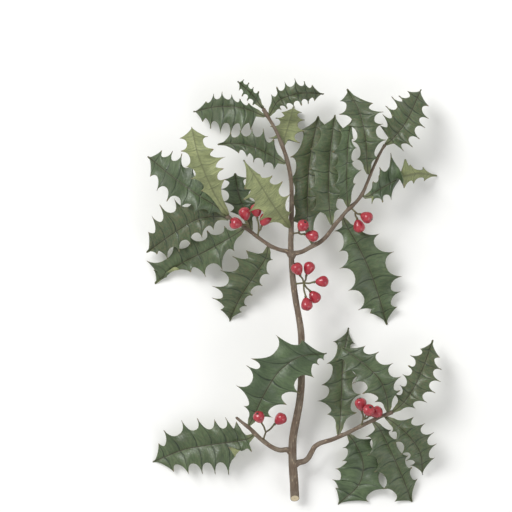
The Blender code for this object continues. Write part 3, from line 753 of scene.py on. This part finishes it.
parts = np.concatenate([-ACROSS[::-1], [0.0], ACROSS])
wide = len(parts)
all_pith = np.vstack(list(woods.values()))[:, :3]
leaves = sorted(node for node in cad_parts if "leaf_" in node)
for number, name in enumerate(leaves):
    pale = name.startswith("pale")
    left, rib, right, tip = read_blade(name)
    rows = len(rib)
    places = np.concatenate([row + (ROW_STEPS[row % 2] if row else even_rows) for row in range(rows)])
    feet = feet_of(rib, tip, places)
    grain = np.gradient(feet, axis=0)
    grain /= np.linalg.norm(grain, axis=1)[:, None]
    vein_number = places / 2 - 1
    nearest = np.round(vein_number)
    pitch = np.linalg.norm(tip - rib[0]) / max(1, (rows - 2) / 2)
    between = (1 - np.cos(2 * np.pi * vein_number)) / 2
    off_vein = np.abs(vein_number - nearest) * pitch
    past_neck, past_both = fades(places, rows)
    seed = Vector((number * 7.3, number * 3.1, 0.0))
    tone = number * 0.37 % 1.0
    deeper = FULL_HOLLOW if name.startswith(FULL_LEAVES) else HOLLOW_DEEPER
    margins = {LEFT: margin_line(left, rib, tip, deeper), RIGHT: margin_line(right, rib, tip, deeper)}
    spans = {side: margins[side] - feet for side in margins}
    turned = np.pi * np.clip((places - TWIST_FROM) / TWIST_OVER, 0, 1) * (name == TWISTED_LEAF)
    swap = np.sin(turned / 2)[:, None]**2
    grid, blade, reach = [], [], []
    for signed_part in parts:
        side = RIGHT if signed_part >= 0 else LEFT
        part = abs(signed_part)
        width = np.linalg.norm(spans[side], axis=1)
        span = spans[side] * (1 - swap) + spans[-side] * swap
        span[:, 2] -= side * TWIST_RISE * width * np.sin(turned)
        bow = VEIN_BEND * width * part * (1 - part)**2 / BOW_PEAK * past_both
        spots = feet + span * part - grain * bow[:, None]

        # The relief of the blade: arched halves, puffed between grooved veins, with a wavy, spiny margin.
        arch = BLADE_ARCH * width * np.sin(np.pi * part) * past_neck
        puff = PUFF * width * np.sin(np.pi * min(1, part * PUFF_STOP)) * between * past_neck
        vein = VEIN_GROOVE[0] * bell(off_vein, VEIN_GROOVE[1]) * (1 - part)**0.5 * (part > 0) * past_both
        groove = RIB_GROOVE[0] * bell(part * width, RIB_GROOVE[1]) * past_neck
        wave = np.array([noise.noise(Vector(spot * WAVE[0]) + seed) for spot in spots])
        lift = np.array([noise.noise(Vector((spine * 1.7 + 0.5, side * 3.1, number * 1.3)))
                         for spine in nearest])
        lift *= SPINE_LIFT * np.cos(np.pi * (vein_number - nearest))**2 * part**3 * past_both
        face_up = -1 if pale else np.cos(turned)
        spots[:, 2] += face_up * (arch * ARCH_TURNS + puff - vein - groove)
        spots[:, 2] += arch * (1 - ARCH_TURNS) + lift
        spots[:, 2] += wave * WAVE[1] * part * past_neck
        spots[:, 2] = np.maximum(spots[:, 2], BLADE_PART * RIB_THICKNESS + 0.1)
        for fold_side, spine in FOLDED_SPINES.get(name, ()):
            if fold_side == side:
                fold_spine(spots, margins[side], feet, places, spine)
        grid.append(spots)
        blade.append(np.stack([vein_number, 0 * width + signed_part, 0 * width + tone], axis=1))
        reach.append(np.stack([width, 0 * width + pitch, 0 * width], axis=1))

    # One more row at the start roots the leaf stalk in the nearest wood.
    grid, blade, reach = (np.stack(facts, axis=1) for facts in (grid, blade, reach))
    pith = min(all_pith, key=lambda spot: np.linalg.norm(spot - feet[0]))
    grid = np.vstack([grid[:1] + (pith - feet[0]) * ROOT_DEPTH, grid])
    blade = np.vstack([blade[:1], blade])
    reach = np.vstack([reach[:1], reach])
    weights = under_thickness(np.append(0, places), rows, parts, reach[:, :, 0])
    count = len(grid)
    faces = []
    for low in range(0, (count - 1) * wide, wide):
        for column in range(low, low + wide - 1):
            faces.append((column, column + 1, column + wide + 1, column + wide))
    last = (count - 1) * wide
    faces += [(last + column, last + column + 1, count * wide) for column in range(wide - 1)]
    points = np.vstack([grid.reshape(-1, 3), tip])
    blade = np.vstack([blade.reshape(-1, 3), [[rows / 2 - 1, 0, blade[0, 0, 2]]]])
    reach = np.vstack([reach.reshape(-1, 3), reach[-1, -1]])
    materials = [leaf_back, leaf_face] if pale else [leaf_face, leaf_back]
    piece = add_piece(f"{name}_blade", points, faces, materials, {"blade": blade, "reach": reach})

    # The thickness goes downwards, and the lower side gets the other material.
    group = piece.vertex_groups.new(name="thickness")
    for index, weight in enumerate([*weights.ravel(), BLADE_PART]):
        group.add([index], weight, "REPLACE")
    shell = piece.modifiers.new("thickness", "SOLIDIFY")
    shell.thickness = RIB_THICKNESS * MM
    shell.offset = -1
    shell.vertex_group = "thickness"
    shell.material_offset = 1
    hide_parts(name)
    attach(piece, "root")


# --- The berries -------------------------------------------------------------------------------
# Ripe fleshy drupes with a taut, waxy crimson skin. Each hangs on its stalk from a small dimple, and
# keeps a dark four-part scar of the flower at its far end.

BERRY_SEGMENTS = 40
BERRY_RINGS = 26
BERRY_NARROWING = 0.34               # the stalk end is this much narrower, the far end this much wider
WIDTH_TO_RADIUS = 2.1                # more than 2, as the far end is the wider one
DENTS = (0.35, 0.03)                 # per mm, and as a part of the berry's size
DIMPLE_DEPTH = 0.55
DIMPLE_REACH = 0.9
SCAR_RADIUS = 0.75
SCAR_LOBES = 0.25                    # how far its four parts stand out, as a part of its radius
SCAR_RIM = (0.22, 0.25)              # height and half width
SCAR_HOLLOW = (0.15, 0.5)
BERRY_RED = (0.360, 0.018, 0.036, 1.0)
BERRY_DEEP = (0.160, 0.008, 0.020, 1.0)
BERRY_BRIGHT = (0.500, 0.060, 0.068, 1.0)
SCAR_BROWN = (0.030, 0.014, 0.010, 1.0)


def egg_axis(node):
    """The middle of an egg-like CAD node, the direction of its long axis, its length and its width."""
    shape = welded(node)
    places = np.array([vertex.co for vertex in shape.verts]) / MM
    shape.free()
    middle = places.mean(axis=0)
    _, axes = np.linalg.eigh(np.cov((places - middle).T))
    return middle, axes[:, -1], np.ptp(places @ axes[:, -1]), np.ptp(places @ axes[:, 0])


def berry_points(middle, axis, length, width):
    """The points of a berry, ring by ring from the stalk, with how far down each is and its direction."""
    turn = np.array(Vector(axis).to_track_quat("Z", "Y").to_matrix())
    points, skin = [], []
    for ring in range(BERRY_RINGS + 1):
        down = ring / BERRY_RINGS
        angle = np.pi * down
        radius = width / WIDTH_TO_RADIUS * np.sin(angle) * (1 - BERRY_NARROWING * np.cos(angle))
        for segment in range(1 if ring in (0, BERRY_RINGS) else BERRY_SEGMENTS):
            around = 2 * np.pi * segment / BERRY_SEGMENTS
            height = -length / 2 * np.cos(angle)
            if down < 0.5:
                height += DIMPLE_DEPTH * bell(radius, DIMPLE_REACH)
            if down > 0.5:
                lobe = SCAR_RADIUS * (1 + SCAR_LOBES * np.cos(4 * around))
                height += SCAR_RIM[0] * bell(radius - lobe, SCAR_RIM[1])
                height -= SCAR_HOLLOW[0] * bell(radius, SCAR_HOLLOW[1])
            place = np.array([radius * np.cos(around), radius * np.sin(around), height])
            dent = noise.noise(Vector(place * DENTS[0]) + Vector(middle)) * DENTS[1]
            points.append(middle + turn @ (place * (1 + dent)))
            skin.append((down, np.cos(around), np.sin(around)))
    return points, skin


berry_skin, tree, shader = new_material("berry_skin", 0.25)
skin = named_vector(tree, "skin")
down = add_node(tree, "ShaderNodeSeparateXYZ", {0: skin}).outputs["X"]
drawn = vector_calc(tree, "MULTIPLY", {0: skin, 1: (1.0, 2.6, 2.6)})
streaks = add_node(tree, "ShaderNodeTexNoise",
                   {"Vector": drawn, "Scale": 2.4, "Detail": 4.0, "Roughness": 0.6})
spots = use_group(tree, mottling, {"Per mm": 0.25})
scar = ramp(tree, down, 0.925, 0.95)
colour = blend(tree, ramp(tree, streaks.outputs["Fac"], 0.42, 0.72), BERRY_RED, BERRY_DEEP)
colour = blend(tree, share(tree, spots["Patches"], 0.45), colour, BERRY_BRIGHT)
colour = blend(tree, ramp(tree, down, 0.10, 0.0), colour, BERRY_DEEP)
rough = calc(tree, "MULTIPLY_ADD", scar, 0.4, 0.22)
surface(tree, shader, blend(tree, scar, colour, SCAR_BROWN), rough, spots["Grain"], 0.12, 0.0002)
shader.inputs["Coat Weight"].default_value = 0.35
shader.inputs["Coat Roughness"].default_value = 0.12
shader.inputs["Subsurface Weight"].default_value = 0.08
shader.inputs["Subsurface Radius"].default_value = (0.003, 0.0006, 0.0005)

clusters = {}
for stalks in sorted(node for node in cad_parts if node.endswith("_berry_stalks")):
    prefix = stalks.replace("stalks", "")
    stalk_points = corners(stalks)
    clusters[stalks] = []
    for name in sorted(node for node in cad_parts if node.startswith(prefix) and node != stalks):
        middle, axis, length, width = egg_axis(name)
        ends = np.array([middle + axis * length / 2, middle - axis * length / 2])
        near, far = gaps_between(ends, stalk_points).min(axis=1)
        if near < far:
            axis = -axis
        clusters[stalks].append((middle, axis, length))
        points, skin = berry_points(middle, axis, length, width)
        faces = cap_faces(1, BERRY_SEGMENTS, 0) + tube_faces(BERRY_RINGS - 1, BERRY_SEGMENTS, 1)
        piece = add_piece(f"{name}_fruit", points, faces, [berry_skin], {"skin": skin})
        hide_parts(name)
        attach(piece, "root")


# --- The berry stalks --------------------------------------------------------------------------
# Thin green-brown stalks, which fork close to the wood. Each ends in a small round cushion that
# sits in the berry's dimple.

STALK_RADIUS = 0.62
FOOT_RADIUS = 0.911765               # inside the wood
FOOT_LENGTH = 0.45                   # it is thin from this part of the way to the fork
STALK_SIDES = 16
STALK_STEP = 0.5
STALK_BEND = 0.5                     # the middle of each branch stands this much to the side
STALK_SAG = 0.35
STRAIGHT_END = 1.4
SEAT_DEPTH = 0.8                     # the cushion sits in this part of the dimple's depth
CUSHION = ([0, 0.5, 1.3, 3.0], [1.0, 1.75, 1.1, 1.0])  # distances from the end, and how much thicker
FIBRES_APART = 30                    # so that no two branches show the same fibres
STALK_BROWN = (0.120, 0.090, 0.045, 1.0)
STALK_GREEN = (0.150, 0.150, 0.062, 1.0)
STALK_DARK = (0.050, 0.036, 0.020, 1.0)

stalk_skin, tree, shader = new_material("stalk_skin", 0.6)
threads = use_group(tree, fibres, {"Place": named_vector(tree, "growth"), "Per mm": 2.4, "Stretch": 0.15})
spots = use_group(tree, mottling, {"Per mm": 0.3})
colour = blend(tree, spots["Patches"], STALK_BROWN, STALK_GREEN)
colour = blend(tree, share(tree, threads["Fine"], 0.6), colour, STALK_DARK)
rough = calc(tree, "MULTIPLY_ADD", threads["Broad"], 0.2, 0.5)
surface(tree, shader, colour, rough, threads["Fine"], 0.4, 0.0002)

for stalks, berries in clusters.items():
    # The berries' long axes all run back to the fork.
    across = [np.eye(3) - np.outer(axis, axis) for _, axis, _ in berries]
    fork = np.linalg.solve(sum(across), sum(flat @ middle for flat, (middle, _, _) in zip(across, berries)))
    places = corners(stalks)
    wood = min(woods.values(), key=lambda line: gaps_between(places, line).min())
    pith = wood[gaps_between(places, wood).min(axis=0).argmin(), :3]
    foot = pith + (fork - pith) * FOOT_LENGTH
    runs = [np.array([[*pith, FOOT_RADIUS], [*foot, STALK_RADIUS], [*fork, STALK_RADIUS]])]
    for middle, axis, length in berries:
        end = middle - axis * (length / 2 - DIMPLE_DEPTH * SEAT_DEPTH)
        half_way = (fork + end) / 2 + np.cross(axis, (0, 0, STALK_BEND)) - (0, 0, STALK_SAG)
        run = np.array([fork, half_way, end - axis * STRAIGHT_END, end])
        runs.append(np.column_stack([run, np.full(len(run), STALK_RADIUS)]))
    points = growth = np.zeros((0, 3))
    faces = []
    for number, run in enumerate(runs):
        line, walked = even_curve(run, STALK_STEP)
        if number:
            line[:, 3] *= np.interp(walked[-1] - walked, *CUSHION)
        rings, _ = tube(line, STALK_SIDES)
        ring_growth = grown_along(walked + FIBRES_APART * number, line[:, 3], STALK_SIDES)
        start = len(points)
        points = np.vstack([points, rings.reshape(-1, 3), line[-1, :3], line[0, :3]])
        growth = np.vstack([growth, ring_growth.reshape(-1, 3), [[0, 0, walked[-1]], [0, 0, 0]]])
        faces += tube_faces(len(line), STALK_SIDES, start) + cap_faces(start, STALK_SIDES, len(points) - 1)
    piece = add_piece(f"{stalks}_skin", points, faces, [stalk_skin], {"growth": growth})
    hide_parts(stalks)
    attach(piece, "root")


# --- The end bud -------------------------------------------------------------------------------
# A small pointed bud of brown-green overlapping scales, seated on the end of the main stem.

BUD_SIDES = 28
BUD_RINGS = 30
BUD_FOOT = 0.18                      # how far into the round of the egg shape the bud starts
BUD_BLUNT = 0.8                      # below 1, a fuller shape
BUD_NARROWING = 0.25
BUD_LONGER = 1.05
BUD_ENDS = (0.54, -0.6)              # the tip and the foot, as a part of the length from the middle
SCALE_ROWS = 3
SCALE_POINTS = 0.12                  # how pointed the scales are
SCALE_LIP = 0.16                     # how far the edge of a scale stands out
BUD_GREEN = (0.120, 0.125, 0.050, 1.0)
BUD_BROWN = (0.085, 0.050, 0.028, 1.0)

bud_scale, tree, shader = new_material("bud_scale", 0.5)
threads = use_group(tree, fibres, {"Place": named_vector(tree, "growth"), "Per mm": 3.0, "Stretch": 0.2})
edge = add_node(tree, "ShaderNodeSeparateXYZ", {0: named_vector(tree, "scale")}).outputs["X"]
colour = blend(tree, ramp(tree, edge, 0.35, 1.0), BUD_GREEN, BUD_BROWN)
colour = blend(tree, share(tree, threads["Fine"], 0.5), colour, BUD_BROWN)
rough = calc(tree, "MULTIPLY_ADD", threads["Broad"], 0.2, 0.42)
surface(tree, shader, colour, rough, threads["Fine"], 0.4, 0.0002)

middle, axis, length, width = egg_axis("terminal_bud")
if axis @ (middle - woods["main_stem"][-1, :3]) < 0:
    axis = -axis
turn = np.array(Vector(axis).to_track_quat("Z", "Y").to_matrix())
points, growth, scale = [], [], []
for ring in range(BUD_RINGS):
    up = ring / BUD_RINGS
    round_up = np.sin(np.pi * (BUD_FOOT + (1 - BUD_FOOT) * up))**BUD_BLUNT
    for side in range(BUD_SIDES):
        around = 2 * np.pi * side / BUD_SIDES
        wrap = (SCALE_ROWS * up + around / np.pi + SCALE_POINTS * np.cos(2 * around)) % 1.0
        radius = width / 2 * round_up * (1 - BUD_NARROWING * up) * (1 + SCALE_LIP * (1 - wrap))
        place = (radius * np.cos(around), radius * np.sin(around), length * (up - 0.5) * BUD_LONGER)
        points.append(middle + turn @ np.array(place))
        growth.append(place)
        scale.append((wrap, 0, 0))
for up in BUD_ENDS:
    points.append(middle + axis * length * up)
    growth.append((0, 0, length * up))
    scale.append((1, 0, 0))
faces = tube_faces(BUD_RINGS, BUD_SIDES) + cap_faces(0, BUD_SIDES, len(points) - 1)
piece = add_piece("terminal_bud_scales", points, faces, [bud_scale], {"growth": growth, "scale": scale})
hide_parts("terminal_bud")
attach(piece, "root")

low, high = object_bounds()
